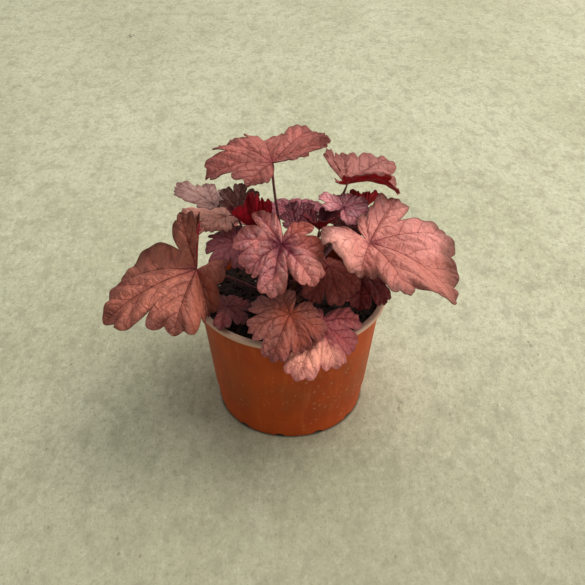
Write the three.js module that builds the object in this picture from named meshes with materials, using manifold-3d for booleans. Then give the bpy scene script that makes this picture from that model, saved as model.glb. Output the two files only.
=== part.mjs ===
// A heuchera in its nursery pot: a rosette of lobed leaves on long stalks, standing in a short crown,
// in a pot full of potting mix. Millimetres, +Z up; the origin is the middle of the pot's underside.
// Each leaf is one solid, its blade fused to its stalk. The stalks stand in sockets in the crown.
import * as THREE from 'three';
import { mergeVertices } from 'three/addons/utils/BufferGeometryUtils.js';
import Module from 'manifold-3d';

const wasm = await Module();
wasm.setup();

// ---- Driving dimensions, in millimetres and degrees ----
const pot = {
  rimRadius: 70, // outside of the lip
  footRadius: 55.5, // outside of the wall where it stands
  height: 98,
  wall: 1.2,
  lipWidth: 3.4,
  lipDrop: 3.2,
  stepHeight: 20, // the wall steps in by stepDepth below this height
  stepDepth: 0.7,
  floor: 1.6,
  floorLift: 2.2, // the ring of the floor between its middle pad and its rim stands clear of the ground
  padRadius: 17,
  footWidth: 9,
  drains: 12,
  drainTurn: 22, // where the first stands, in degrees
  drainWidth: 8,
  drainHeight: 3,
  drainDepth: 7,
  sides: 42,
};
const soil = { level: 84, mound: 4, clearance: 0.5, rings: 5, sides: 36 };
const crown = { radius: 9.5, foot: 74, top: 103, sides: 14, clearance: 0.4 };
const blade = {
  thickness: 0.8,
  round: 0.09, // how much shorter a lobe is at its sides than at its vein
  notch: 0.24, // depth of the clefts between lobes
  notchPower: 8, // how narrow they are
  tooth: 0.075, // depth of the scallops, three on each lobe
  slitFrom: 14, // the blade is slit from its edge to the stalk, across this angle each side
  slitReach: 0.06,
  pleat: 0.025, // lift of the blade between two veins, as a share of its reach
  wave: 0.03, // lift of the waves of its edge
  rings: [0.3, 0.66, 1],
  smallest: 36, // a leaf with a shorter reach has fewer corners to its edge
};
const stalk = { radius: 1.1, sides: 6, steps: 8, sunk: 4.5, clearance: 0.35, overrun: 0.7 };
const finest = 0.03; // the joins leave no corners nearer to each other than this

// ---- The leaves ----
// at: where the stalk meets the blade. aim: compass angle of the middle lobe, from +X towards +Y.
// gap: angle from one main vein to the next. Then, from the last lobe on the right, through the middle
// one, to the last on the left, reach: length of each lobe. slope: how steeply it climbs, on the whole.
// arch: how much steeper it is at the stalk than at its tip. notches: depths of the clefts between them,
// and sharp: how narrow each of them is. slit: how far from the slit the blade narrows.
// root: compass angle and height where the stalk leaves the crown. lean: its slope there.
// elbow: slope of the stalk where it meets the blade, seen from the middle lobe's side.
const leaves = [
  { name: 'leaf_left', at: [-63, -28, 132], aim: 208, gap: 47, tone: 'rust',
    reach: [41, 42, 67, 74, 54, 35, 23], slope: [80, 46, -19, -15, -22, -66, 22],
    arch: [0, 10, 30, 40, 45, 40, -10], notches: [0.05, 0.55, 0.24, 0.25, 0.1, 0.25],
    sharp: [4, 2.2, 1, 14, 8, 4], slit: 30, root: [190, 90], lean: 25, elbow: 20 },
  { name: 'leaf_top', at: [-12, 18, 188], aim: 100, gap: 47, tone: 'rust',
    reach: [36, 43, 46, 50, 46, 50, 34], slope: [28, 22, 12, -4, 3, -4, 0],
    arch: [10, 20, 30, 40, 50, 50, 30], notches: [0.12, 0.15, 0.3, 0.2, 0.2, 0.06],
    root: [110, 102], lean: 75, elbow: 95 },
  { name: 'leaf_top_right', at: [40, 25, 168], aim: 1, gap: 47, tone: 'salmon',
    reach: [12, 20, 39, 41, 47, 27, 29], slope: [30, 46, 32, -12, 2, 28, 50],
    arch: [-20, -20, 45, 78, 30, 0, 0], notches: [0.15, 0.05, 0.05, 0.05, 0.1, 0.1],
    root: [40, 101], lean: 65, elbow: 75 },
  { name: 'leaf_right', at: [53, -25, 151], aim: -22, gap: 42, tone: 'salmon',
    reach: [40, 32, 55, 73, 63, 48, 21], slope: [19, -14, -7, -25, -8, 14, 44],
    arch: [40, 50, 40, 60, 50, 40, 0], notches: [-0.08, 0.05, -0.08, 0, 0.32, 0],
    sharp: [6, 6, 2, 4, 4, 4], slit: 34, root: [-10, 98], lean: 55, elbow: 70 },
  { name: 'leaf_centre', at: [-6, -30, 153], aim: -100, gap: 45, tone: 'mauve',
    reach: [33, 34, 31, 41, 42, 31, 26], slope: [26, 2, -23, -30, -14, -12, 25],
    arch: [20, 40, 50, 60, 50, 50, 10], notches: [0.4, 0.15, 0.12, 0.4, 0.25, 0.3],
    sharp: [3, 8, 8, 4, 6, 6], slit: 48, root: [-100, 101], lean: 70, elbow: 70 },
  { name: 'leaf_front', at: [0, -62, 120], aim: -112, gap: 47, tone: 'mauve',
    reach: [24, 29, 31, 36, 28, 29, 22], slope: [5, 0, -14, -30, -46, -30, -10],
    arch: [20, 30, 50, 50, 60, 60, 30], notches: [0.3, 0.2, 0.1, 0.25, 0.3, 0.3],
    root: [-112, 94], lean: 45, elbow: 45 },
  { name: 'leaf_front_low', at: [20, -56, 108], aim: -113, gap: 46, tone: 'pink',
    reach: [14, 20, 34, 45, 34, 31, 32], slope: [5, 0, -15, -25, -32, -36, -12],
    arch: [10, 20, 30, 20, 30, 50, 40], notches: [0.3, 0.3, 0.06, 0.1, 0.25, 0.3],
    root: [-72, 90], lean: 22, elbow: 25 },
  { name: 'leaf_under_right', at: [26, -25, 133], aim: -74, gap: 47, tone: 'dark',
    reach: [28, 28, 30, 32, 28, 12, 10], slope: [14, -5, -36, -28, -30, -10, 0],
    arch: [10, 30, 50, 50, 50, 30, 10],
    root: [-52, 96], lean: 60, elbow: 75 },
  { name: 'leaf_shaded', at: [50, -14, 121], aim: -50, gap: 46, tone: 'dark',
    reach: [16, 22, 30, 30, 26, 20, 16], slope: [0, -10, -35, -30, -26, -10, 0],
    arch: [10, 20, 40, 40, 40, 20, 10],
    root: [-25, 91], lean: 30, elbow: 60 },
  { name: 'leaf_back_right', at: [37, 6, 160], aim: 60, gap: 47, tone: 'mauve',
    reach: [22, 20, 18, 14, 13, 20, 17], slope: [-12, 5, 10, 20, 20, 18, 5],
    arch: [10, 20, 20, 20, 20, 20, 10], notches: [0.2, 0.2, 0.2, 0.15, 0.2, 0.2],
    slit: 60, root: [10, 101], lean: 70, elbow: 80 },
  { name: 'leaf_behind_right', at: [54, 48, 134], aim: -80, gap: 47, tone: 'crimson',
    reach: [16, 22, 27, 23, 22, 18, 14], slope: [10, 42, 60, 66, 64, 42, 20],
    arch: [10, 0, -10, -20, -10, 0, 10], notches: [0.05, 0.05, 0.02, 0.02, 0.05, 0.05],
    root: [40, 93], lean: 45, elbow: 60 },
  { name: 'leaf_curled', at: [-23, 14, 136], aim: -100, gap: 47, tone: 'crimson',
    reach: [12, 16, 36, 43, 36, 15, 11], slope: [20, 45, 50, 72, 68, 45, 20],
    arch: [0, 0, -10, -30, -20, 0, 0], notches: [0.1, 0.1, 0.02, 0, 0.1, 0.1],
    root: [150, 101], lean: 65, elbow: 60 },
  { name: 'leaf_upper_left', at: [-46, 18, 146], aim: 182, gap: 47, tone: 'rust',
    reach: [12, 16, 21, 34, 21, 17, 12], slope: [5, -5, -14, 3, -8, -8, 0],
    arch: [20, 30, 40, 50, 40, 30, 20],
    root: [168, 96], lean: 45, elbow: 55 },
  { name: 'leaf_far_left', at: [-57, 46, 139], aim: 155, gap: 47, tone: 'mauve',
    reach: [16, 20, 26, 33, 33, 16, 12], slope: [5, 5, 10, 19, 27, 16, 0],
    arch: [20, 30, 30, 30, 30, 30, 20],
    root: [140, 92], lean: 40, elbow: 50 },
  { name: 'leaf_far_middle', at: [-38, 36, 139], aim: 85, gap: 47, tone: 'dark',
    reach: [12, 16, 22, 24, 22, 16, 12], slope: [10, 20, 32, 38, 35, 20, 10],
    arch: [10, 10, 10, 10, 10, 10, 10],
    root: [125, 96], lean: 55, elbow: 70 },
  { name: 'leaf_shaded_left', at: [-37, -2, 137], aim: 235, gap: 47, tone: 'dark',
    reach: [18, 24, 24, 28, 24, 20, 16], slope: [10, -5, -10, -20, -20, -10, 0],
    arch: [20, 30, 40, 50, 40, 30, 20],
    root: [205, 97], lean: 50, elbow: 65 },
  { name: 'leaf_low_left', at: [-43, -33, 104], aim: 214, gap: 47, tone: 'dark',
    reach: [16, 18, 14, 9, 25, 20, 16], slope: [-5, -5, -5, -5, 0, -6, 5],
    arch: [10, 20, 30, 30, 30, 20, 10],
    root: [222, 90], lean: 20, elbow: 20 },
  { name: 'leaf_inner', at: [4, 6, 145], aim: 55, gap: 47, tone: 'mauve',
    reach: [12, 15, 19, 22, 21, 14, 10], slope: [15, 20, 25, 28, 28, 25, 15],
    arch: [10, 20, 30, 30, 30, 20, 10],
    root: [70, 102], lean: 80, elbow: 76 },
  { name: 'leaf_young', at: [20, -5, 149], aim: -80, gap: 47, tone: 'crimson',
    reach: [17, 18, 17, 15, 17, 19, 18], slope: [46, 50, 50, 55, 50, 38, 34],
    arch: [-10, 0, 10, 10, 10, 0, -10],
    root: [-30, 102], lean: 75, elbow: 80 },
  { name: 'leaf_middle', at: [35, 20, 136], aim: 0, gap: 47, tone: 'dark',
    reach: [8, 13, 22, 22, 20, 20, 8], slope: [10, 12, 8, 0, 5, 12, 18],
    arch: [20, 30, 30, 30, 30, 30, 20],
    root: [28, 96], lean: 50, elbow: 75 },
  { name: 'leaf_far_right', at: [80, 36, 120], aim: 25, gap: 47, tone: 'rust',
    reach: [18, 24, 28, 32, 30, 24, 18], slope: [5, 0, -5, -10, -10, 0, 5],
    arch: [20, 30, 40, 50, 40, 30, 20],
    root: [16, 91], lean: 30, elbow: 35 },
  { name: 'leaf_back_low', at: [46, 64, 114], aim: 55, gap: 46, tone: 'salmon',
    reach: [20, 32, 38, 43, 37, 24, 16], slope: [5, 0, -12, -22, -18, 0, 5],
    arch: [20, 30, 50, 60, 50, 30, 20],
    root: [62, 91], lean: 32, elbow: 39 },
  { name: 'leaf_back', at: [0, 64, 124], aim: 92, gap: 47, tone: 'mauve',
    reach: [18, 28, 36, 46, 36, 28, 18], slope: [5, 0, -14, -26, -18, 0, 5],
    arch: [20, 30, 50, 70, 50, 30, 20],
    root: [92, 94], lean: 42, elbow: 40 },
  { name: 'leaf_back_left', at: [-44, 72, 108], aim: 126, gap: 47, tone: 'rust',
    reach: [14, 18, 30, 42, 36, 22, 14], slope: [10, 4, -16, -24, -22, 4, 12],
    arch: [20, 30, 50, 60, 50, 30, 20],
    root: [118, 90], lean: 30, elbow: 35 },
];

// ---- Small tools ----
const radians = THREE.MathUtils.degToRad;
const clamp = THREE.MathUtils.clamp;

// Turns a closed three.js geometry into a solid.
function solidOf(geometry) {
  const bare = new THREE.BufferGeometry();
  bare.setAttribute('position', geometry.getAttribute('position'));
  if (geometry.index) bare.setIndex(geometry.index);
  const merged = mergeVertices(bare, 1e-4);
  return new wasm.Manifold(new wasm.Mesh({
    numProp: 3,
    vertProperties: new Float32Array(merged.attributes.position.array),
    triVerts: new Uint32Array(merged.index.array),
  }));
}

// Turns a solid back into a geometry.
function geometryOf(solid) {
  const mesh = solid.getMesh();
  const geometry = new THREE.BufferGeometry();
  const position = new Float32Array(mesh.numVert * 3);
  for (let i = 0; i < mesh.numVert; i++)
    for (let k = 0; k < 3; k++) position[3 * i + k] = mesh.vertProperties[mesh.numProp * i + k];
  geometry.setAttribute('position', new THREE.BufferAttribute(position, 3));
  geometry.setIndex(new THREE.BufferAttribute(new Uint32Array(mesh.triVerts), 1));
  geometry.computeVertexNormals();
  return geometry;
}

function geometryFrom(points, faces) {
  const geometry = new THREE.BufferGeometry();
  const position = points.flatMap((p) => p.toArray());
  geometry.setAttribute('position', new THREE.Float32BufferAttribute(position, 3));
  geometry.setIndex(faces.flat());
  return geometry;
}

// A lathe geometry turns about +Y; this one is stood up on +Z.
function turned(profile, sides) {
  const geometry = new THREE.LatheGeometry(profile.map(([r, z]) => new THREE.Vector2(r, z)), sides);
  return geometry.rotateX(Math.PI / 2);
}

// ---- The blade ----

// A value given for each lobe, read at any angle from the middle vein, easing from one to the next.
function betweenLobes(leaf, values, angle) {
  const last = values.length - 1;
  const place = clamp(angle / leaf.gap + last / 2, 0, last);
  const low = Math.min(last - 1, Math.floor(place));
  const ease = THREE.MathUtils.smoothstep(place - low, 0.15, 0.85);
  return values[low] + (values[low + 1] - values[low]) * ease;
}

// How far across its lobe an angle is: 0 on the lobe's vein, 1 in the cleft beside it. The last lobe on
// each side is wider, and runs on to the slit.
function acrossLobe(leaf, angle) {
  const side = (leaf.reach.length - 1) / 2;
  const beyond = Math.abs(angle) - side * leaf.gap;
  if (beyond > 0) return Math.min(1, beyond / (180 - side * leaf.gap));
  const place = angle / leaf.gap;
  return 2 * Math.abs(place - Math.round(place));
}

// How deep the cleft nearest to an angle cuts there.
function notchAt(leaf, angle) {
  const cleft = Math.floor(angle / leaf.gap + (leaf.reach.length - 1) / 2);
  const depth = leaf.notches?.[cleft] ?? blade.notch;
  return depth * acrossLobe(leaf, angle) ** (leaf.sharp?.[cleft] ?? blade.notchPower);
}

// How far the blade reaches from the stalk at an angle from the middle vein.
function reachAt(leaf, angle) {
  const across = acrossLobe(leaf, angle);
  const cleft = 1 - blade.round * across ** 2 - notchAt(leaf, angle);
  const scallop = 1 - blade.tooth * (1 - Math.abs(Math.cos(1.5 * Math.PI * across)));
  const slit = clamp((180 - Math.abs(angle)) / (leaf.slit ?? blade.slitFrom), 0, 1) ** 0.5;
  return betweenLobes(leaf, leaf.reach, angle) * Math.max(blade.slitReach, cleft * scallop * slit);
}

// A point of the blade's middle surface, in the leaf's frame: +X to the middle lobe, +Y left, +Z up.
// Each ray from the stalk arches in its own upright plane, and is lifted between the veins.
function surfacePoint(leaf, angle, distance) {
  const whole = betweenLobes(leaf, leaf.reach, angle);
  const arch = radians(betweenLobes(leaf, leaf.arch, angle));
  const start = radians(betweenLobes(leaf, leaf.slope, angle)) + arch / 2;
  const bend = -arch / whole;
  const slope = start + bend * distance;
  let out = distance * Math.cos(start);
  let up = distance * Math.sin(start);
  if (Math.abs(bend) > 1e-6) {
    out = (Math.sin(slope) - Math.sin(start)) / bend;
    up = (Math.cos(start) - Math.cos(slope)) / bend;
  }
  const share = distance / whole;
  const pleat = -blade.pleat * whole * share * Math.cos((2 * Math.PI * angle) / leaf.gap);
  const edge = THREE.MathUtils.smoothstep(distance / reachAt(leaf, angle), 0.4, 1);
  const wave = blade.wave * whole * edge * Math.sin(radians(angle) * 7 + leaf.at[0] + leaf.at[1]);
  const lift = pleat + wave;
  out -= lift * Math.sin(slope);
  up += lift * Math.cos(slope);
  return new THREE.Vector3(out * Math.cos(radians(angle)), out * Math.sin(radians(angle)), up);
}

// The angles of the edge's corners: the ends of each scallop, and one or two points on its crest.
function edgeAngles(leaf) {
  const small = Math.max(...leaf.reach) < blade.smallest;
  const corners = small ? [0, 0.4, 0.75] : [0.13, 1 / 3, 0.52, 0.8];
  const side = (leaf.reach.length - 1) / 2;
  const last = side * leaf.gap;
  const left = small ? [] : [0];
  for (let lobe = 0; lobe < side; lobe++) {
    left.push(...corners.map((across) => leaf.gap * (lobe + across / 2)), leaf.gap * (lobe + 0.5));
    left.push(...corners.map((across) => leaf.gap * (lobe + 1 - across / 2)).reverse());
  }
  left.push(...corners.map((across) => last + (180 - last) * across), 176);
  const ordered = [...new Set(left)];
  return [...ordered.filter((angle) => angle > 0).map((angle) => -angle).reverse(), ...ordered, 180];
}

// The leaf's frame in the plant's.
function frameOf(leaf) {
  return new THREE.Matrix4().makeRotationZ(radians(leaf.aim)).setPosition(...leaf.at);
}

function bladeSolid(leaf) {
  const edge = edgeAngles(leaf);
  const rings = blade.rings.map((share, i) => {
    const skip = 2 ** (blade.rings.length - 1 - i);
    return edge.filter((_, k) => k % skip === 0).map((angle) => ({ angle, share }));
  });
  const points = [surfacePoint(leaf, 0, 0)];
  const starts = rings.map((ring) => {
    const start = points.length;
    for (const { angle, share } of ring)
      points.push(surfacePoint(leaf, angle, share * reachAt(leaf, angle)));
    return start;
  });
  const faces = rings[0].map((_, k) => [0, starts[0] + k, starts[0] + ((k + 1) % rings[0].length)]);
  for (let i = 1; i < rings.length; i++)
    faces.push(...stitch(rings[i - 1], starts[i - 1], rings[i], starts[i]));
  const made = thicken(points, faces, starts.at(-1), rings.at(-1).length);
  return made.transform([...frameOf(leaf).elements]);
}

// Faces of the band between two rings of corners, taking the nearer next corner each time.
function stitch(inner, innerStart, outer, outerStart) {
  const faces = [];
  let i = 0;
  let o = 0;
  while (i < inner.length || o < outer.length) {
    const a = innerStart + (i % inner.length);
    const b = outerStart + (o % outer.length);
    const nextInner = (inner[(i + 1) % inner.length].angle + (i + 1 >= inner.length ? 360 : 0));
    const nextOuter = (outer[(o + 1) % outer.length].angle + (o + 1 >= outer.length ? 360 : 0));
    if (o < outer.length && (i >= inner.length || nextOuter <= nextInner)) {
      faces.push([a, b, outerStart + ((o + 1) % outer.length)]);
      o++;
    } else {
      faces.push([a, b, innerStart + ((i + 1) % inner.length)]);
      i++;
    }
  }
  return faces;
}

// Gives a surface its thickness: the same faces above and below it, and a strip round its edge.
function thicken(points, faces, edgeStart, edgeCount) {
  const flat = geometryFrom(points, faces);
  flat.computeVertexNormals();
  const normals = flat.getAttribute('normal');
  const half = blade.thickness / 2;
  const normalAt = (i) => new THREE.Vector3().fromBufferAttribute(normals, i);
  const offset = (side) => points.map((p, i) => p.clone().addScaledVector(normalAt(i), side * half));
  const n = points.length;
  const all = [...faces, ...faces.map(([a, b, c]) => [a + n, c + n, b + n])];
  for (let k = 0; k < edgeCount; k++) {
    const a = edgeStart + k;
    const b = edgeStart + ((k + 1) % edgeCount);
    all.push([b, a, a + n], [b, a + n, b + n]);
  }
  return solidOf(geometryFrom([...offset(1), ...offset(-1)], all));
}

// ---- The stalk ----

// From inside the crown to the blade.
function stalkPath(leaf) {
  const [bearing, height] = leaf.root;
  const across = new THREE.Vector3(Math.cos(radians(bearing)), Math.sin(radians(bearing)), 0);
  const leave = across.clone().multiplyScalar(Math.cos(radians(leaf.lean)));
  leave.setZ(Math.sin(radians(leaf.lean)));
  const skin = across.clone().multiplyScalar(crownRadius(height)).setZ(height);
  const root = skin.addScaledVector(leave, -stalk.sunk);
  const tip = new THREE.Vector3(...leaf.at);
  const far = tip.distanceTo(root);
  const arrive = new THREE.Vector3(Math.cos(radians(leaf.aim)), Math.sin(radians(leaf.aim)), 0);
  arrive.multiplyScalar(Math.cos(radians(leaf.elbow))).setZ(Math.sin(radians(leaf.elbow)));
  const out = root.clone().addScaledVector(leave, far * 0.4);
  const below = tip.clone().addScaledVector(arrive, -far * 0.3);
  return new THREE.CubicBezierCurve3(root, out, below, tip.addScaledVector(arrive, stalk.overrun));
}

function stalkSolid(leaf, radius) {
  const section = new THREE.Shape();
  section.absarc(0, 0, radius, 0, 2 * Math.PI);
  const form = { steps: stalk.steps, curveSegments: stalk.sides / 2, bevelEnabled: false };
  return solidOf(new THREE.ExtrudeGeometry(section, { ...form, extrudePath: stalkPath(leaf) }));
}

// ---- The pot, the mix and the crown ----

function wallRadius(z) {
  const top = pot.rimRadius - pot.lipWidth;
  return pot.footRadius + ((top - pot.footRadius) * z) / pot.height;
}

function potSolid() {
  const h = pot.height;
  const step = pot.stepHeight;
  const top = wallRadius(h);
  const lift = pot.floorLift;
  const ring = pot.footRadius - pot.footWidth;
  const inner = (z) => wallRadius(z) - pot.wall;
  const profile = [
    [0, 0], [pot.padRadius, 0], [pot.padRadius + 3, lift], [ring - 3, lift], [ring, 0],
    [pot.footRadius - pot.stepDepth - 1, 0], [wallRadius(step) - pot.stepDepth, step],
    [wallRadius(step + 1), step + 1], [wallRadius(h - pot.lipDrop), h - pot.lipDrop],
    [pot.rimRadius - 0.4, h - pot.lipDrop], [pot.rimRadius, h - 0.8], [pot.rimRadius - 0.8, h],
    [top - pot.wall + 0.4, h], [inner(h - 2), h - 2], [inner(step) - pot.stepDepth, step],
    [inner(pot.floor) - pot.stepDepth - 2, pot.floor], [ring + 1, pot.floor],
    [ring - 3, lift + pot.floor], [pot.padRadius + 3, lift + pot.floor], [pot.padRadius, pot.floor],
    [0, pot.floor],
  ];
  let solid = solidOf(turned(profile, pot.sides));
  for (let i = 0; i < pot.drains; i++) {
    const cut = new THREE.BoxGeometry(pot.drainDepth * 2, pot.drainWidth, pot.drainHeight * 2);
    cut.translate(pot.footRadius, 0, 0);
    cut.rotateZ(THREE.MathUtils.degToRad(pot.drainTurn + (360 * i) / pot.drains));
    solid = solid.subtract(solidOf(cut));
  }
  return solid;
}

// The height of the mix at a point: a low mound, with hollows and lumps.
function soilHeight(x, y) {
  const share = Math.hypot(x, y) / pot.rimRadius;
  const lumps = Math.sin(x * 0.31 + 1.3) * Math.cos(y * 0.27 - 0.4) + 0.6 * Math.sin(x * 0.11 - y * 0.19);
  return soil.level + soil.mound * (1 - share ** 2) + 0.9 * lumps;
}

function soilSolid() {
  const wall = (z) => wallRadius(z) - pot.wall - pot.stepDepth - soil.clearance;
  const foot = pot.floorLift + pot.floor + soil.clearance;
  const points = [new THREE.Vector3(0, 0, soilHeight(0, 0))];
  const ring = (radius, heightAt) => {
    for (let k = 0; k < soil.sides; k++) {
      const a = (2 * Math.PI * k) / soil.sides;
      const x = radius * Math.cos(a);
      const y = radius * Math.sin(a);
      points.push(new THREE.Vector3(x, y, heightAt(x, y)));
    }
  };
  for (let i = 1; i <= soil.rings; i++) ring((wall(soil.level) * i) / soil.rings, soilHeight);
  ring(wall(foot + 2) - 2, () => foot);
  points.push(new THREE.Vector3(0, 0, foot));
  const faces = [];
  const at = (i, k) => 1 + (i - 1) * soil.sides + (k % soil.sides);
  for (let k = 0; k < soil.sides; k++) {
    faces.push([0, at(1, k), at(1, k + 1)]);
    faces.push([points.length - 1, at(soil.rings + 1, k + 1), at(soil.rings + 1, k)]);
    for (let i = 1; i <= soil.rings; i++)
      faces.push([at(i, k), at(i + 1, k), at(i + 1, k + 1)], [at(i, k), at(i + 1, k + 1), at(i, k + 1)]);
  }
  return solidOf(geometryFrom(points, faces));
}

// The crown is a short stout stem. It narrows to its top.
function crownRadius(z) {
  return crown.radius * (1 - 0.45 * THREE.MathUtils.smoothstep(z, crown.foot + 12, crown.top));
}

function crownSolid(grow) {
  const heights = [crown.foot, crown.foot + 6, 92, 98, crown.top - 1.5];
  const profile = heights.map((z) => [crownRadius(z) + grow, z]);
  const foot = [[0, crown.foot - grow], [crown.radius * 0.8 + grow, crown.foot - grow]];
  return solidOf(turned([...foot, ...profile.slice(1), [0, crown.top + grow]], crown.sides));
}

// ---- The plant ----
const tones = {
  rust: 0xa65c4c,
  salmon: 0xd98a78,
  mauve: 0xa0605c,
  pink: 0xe0988a,
  dark: 0x5e2020,
  crimson: 0x8c1026,
};
const plant = new THREE.Group();

function addMesh(name, solid, colour, roughness) {
  const material = new THREE.MeshStandardMaterial({ color: colour, roughness, metalness: 0 });
  const mesh = new THREE.Mesh(geometryOf(solid.asOriginal().simplify(finest)), material);
  mesh.name = name;
  plant.add(mesh);
}

let crownBody = crownSolid(0);
const socketRadius = stalk.radius + stalk.clearance;
for (const leaf of leaves) crownBody = crownBody.subtract(stalkSolid(leaf, socketRadius));
addMesh('pot', potSolid(), 0xb4552a, 0.45);
addMesh('potting_mix', soilSolid().subtract(crownSolid(crown.clearance)), 0x2a1d18, 1);
addMesh('crown', crownBody, 0x6b3a30, 0.9);
for (const leaf of leaves)
  addMesh(leaf.name, bladeSolid(leaf).add(stalkSolid(leaf, stalk.radius)), tones[leaf.tone], 0.6);

export default plant;
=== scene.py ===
import math
import random
from typing import NamedTuple

import bpy
import numpy as np
from mathutils import Matrix, Vector, noise


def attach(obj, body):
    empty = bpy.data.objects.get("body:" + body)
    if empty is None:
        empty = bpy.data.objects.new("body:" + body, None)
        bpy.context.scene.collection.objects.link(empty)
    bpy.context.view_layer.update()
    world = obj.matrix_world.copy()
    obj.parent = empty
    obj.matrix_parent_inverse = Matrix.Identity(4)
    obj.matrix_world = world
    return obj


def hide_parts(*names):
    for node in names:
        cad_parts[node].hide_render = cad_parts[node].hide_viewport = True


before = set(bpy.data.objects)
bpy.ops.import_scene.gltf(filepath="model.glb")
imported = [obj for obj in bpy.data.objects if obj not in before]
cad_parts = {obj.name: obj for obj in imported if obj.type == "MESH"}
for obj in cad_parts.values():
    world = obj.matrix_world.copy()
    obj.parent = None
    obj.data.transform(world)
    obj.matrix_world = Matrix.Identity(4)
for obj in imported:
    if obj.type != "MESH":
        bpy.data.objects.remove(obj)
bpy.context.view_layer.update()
mm = 0.001
print("frame loaded")


def deselectAll():
    bpy.ops.object.select_all(action="DESELECT")


def workOn(*pieces):
    deselectAll()
    for piece in pieces:
        piece.select_set(True)
    bpy.context.view_layer.objects.active = pieces[0]


def made(adding, **settings):  # runs an operator that adds an object, and gives that object back
    deselectAll()
    adding(**settings)
    return bpy.context.object


def editAll(piece, *steps):  # runs edit mode steps, starting with the whole mesh selected
    workOn(piece)
    bpy.ops.object.mode_set(mode="EDIT")
    bpy.ops.mesh.select_all(action="SELECT")
    for step in steps:
        step()
    bpy.ops.object.mode_set(mode="OBJECT")


def mergeSeams():
    bpy.ops.mesh.remove_doubles(threshold=0.000003)


def faceOut():
    bpy.ops.mesh.normals_make_consistent(inside=False)


def corners(piece):
    flat = np.empty(len(piece.data.vertices) * 3)
    piece.data.vertices.foreach_get("co", flat)
    return flat.reshape(-1, 3)


def moveCorners(piece, places):
    piece.data.vertices.foreach_set("co", np.ascontiguousarray(places, dtype=np.float32).ravel())
    piece.data.update()


def reshape(piece, rule):  # moves each corner to where the rule puts it
    moveCorners(piece, [rule(*corner.co) for corner in piece.data.vertices])


def applyModifier(piece, kind, **settings):
    workOn(piece)
    modifier = piece.modifiers.new(kind.lower(), kind)
    for key, value in settings.items():
        setattr(modifier, key, value)
    bpy.ops.object.modifier_apply(modifier=modifier.name)


def smoothStep(value, low, high):
    share = np.clip((value - low) / (high - low), 0, 1)
    return share * share * (3 - 2 * share)


def stamp(template, placements, name):  # copies of one template, joined in one mesh
    source = corners(template)
    polygons = [tuple(polygon.vertices) for polygon in template.data.polygons]
    places = []
    faces = []
    for index, placement in enumerate(placements):
        turn = np.array(placement)
        places.append(source @ turn[:3, :3].T + turn[:3, 3])
        start = index * len(source)
        faces.extend(tuple(start + corner for corner in polygon) for polygon in polygons)
    mesh = bpy.data.meshes.new(name)
    mesh.from_pydata(np.concatenate(places).tolist(), [], faces)
    copies = bpy.data.objects.new(name, mesh)
    bpy.context.scene.collection.objects.link(copies)
    for finish in template.data.materials:
        mesh.materials.append(finish)
    return copies


def polar(radius, bearing, height=0.0):  # a point from its bearing in radians
    return Vector((radius * math.cos(bearing), radius * math.sin(bearing), height))


def joined(first, *others):
    workOn(first, *others)
    bpy.ops.object.join()
    return first


def discard(piece):
    bpy.data.objects.remove(piece, do_unlink=True)


def wear(piece, *finishes):
    piece.data.materials.clear()
    for finish in finishes:
        piece.data.materials.append(finish)


def handIn(piece, node, slotName, smooth=60):
    workOn(piece)
    bpy.ops.object.shade_smooth_by_angle(angle=math.radians(smooth))
    first, *rest = node.split("_")
    piece.name = piece.data.name = first + "".join(word.capitalize() for word in rest)
    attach(piece, "root")
    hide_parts(node)


def paint(code, strength=1.0):  # a colour from its web code
    parts = [int(code[i:i + 2], 16) / 255 for i in (0, 2, 4)]
    linear = [c / 12.92 if c <= 0.04045 else ((c + 0.055) / 1.055) ** 2.4 for c in parts]
    return (*(strength * c for c in linear), 1.0)


class Signal:  # one socket; arithmetic on it adds Math nodes
    def __init__(self, finish, socket):
        self.finish = finish
        self.socket = socket

    def math(self, operation, first, second=0.0):
        return self.finish.node("Math", {"operation": operation}, {0: first, 1: second})

    __add__ = __radd__ = lambda self, other: self.math("ADD", self, other)
    __sub__ = lambda self, other: self.math("SUBTRACT", self, other)
    __rsub__ = lambda self, other: self.math("SUBTRACT", other, self)
    __mul__ = __rmul__ = lambda self, other: self.math("MULTIPLY", self, other)
    __truediv__ = lambda self, other: self.math("DIVIDE", self, other)
    __gt__ = lambda self, other: self.math("GREATER_THAN", self, other)
    __abs__ = lambda self: self.math("ABSOLUTE", self)

    def remainder(self):  # what is left after the whole number
        return self.math("FRACT", self)


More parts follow.
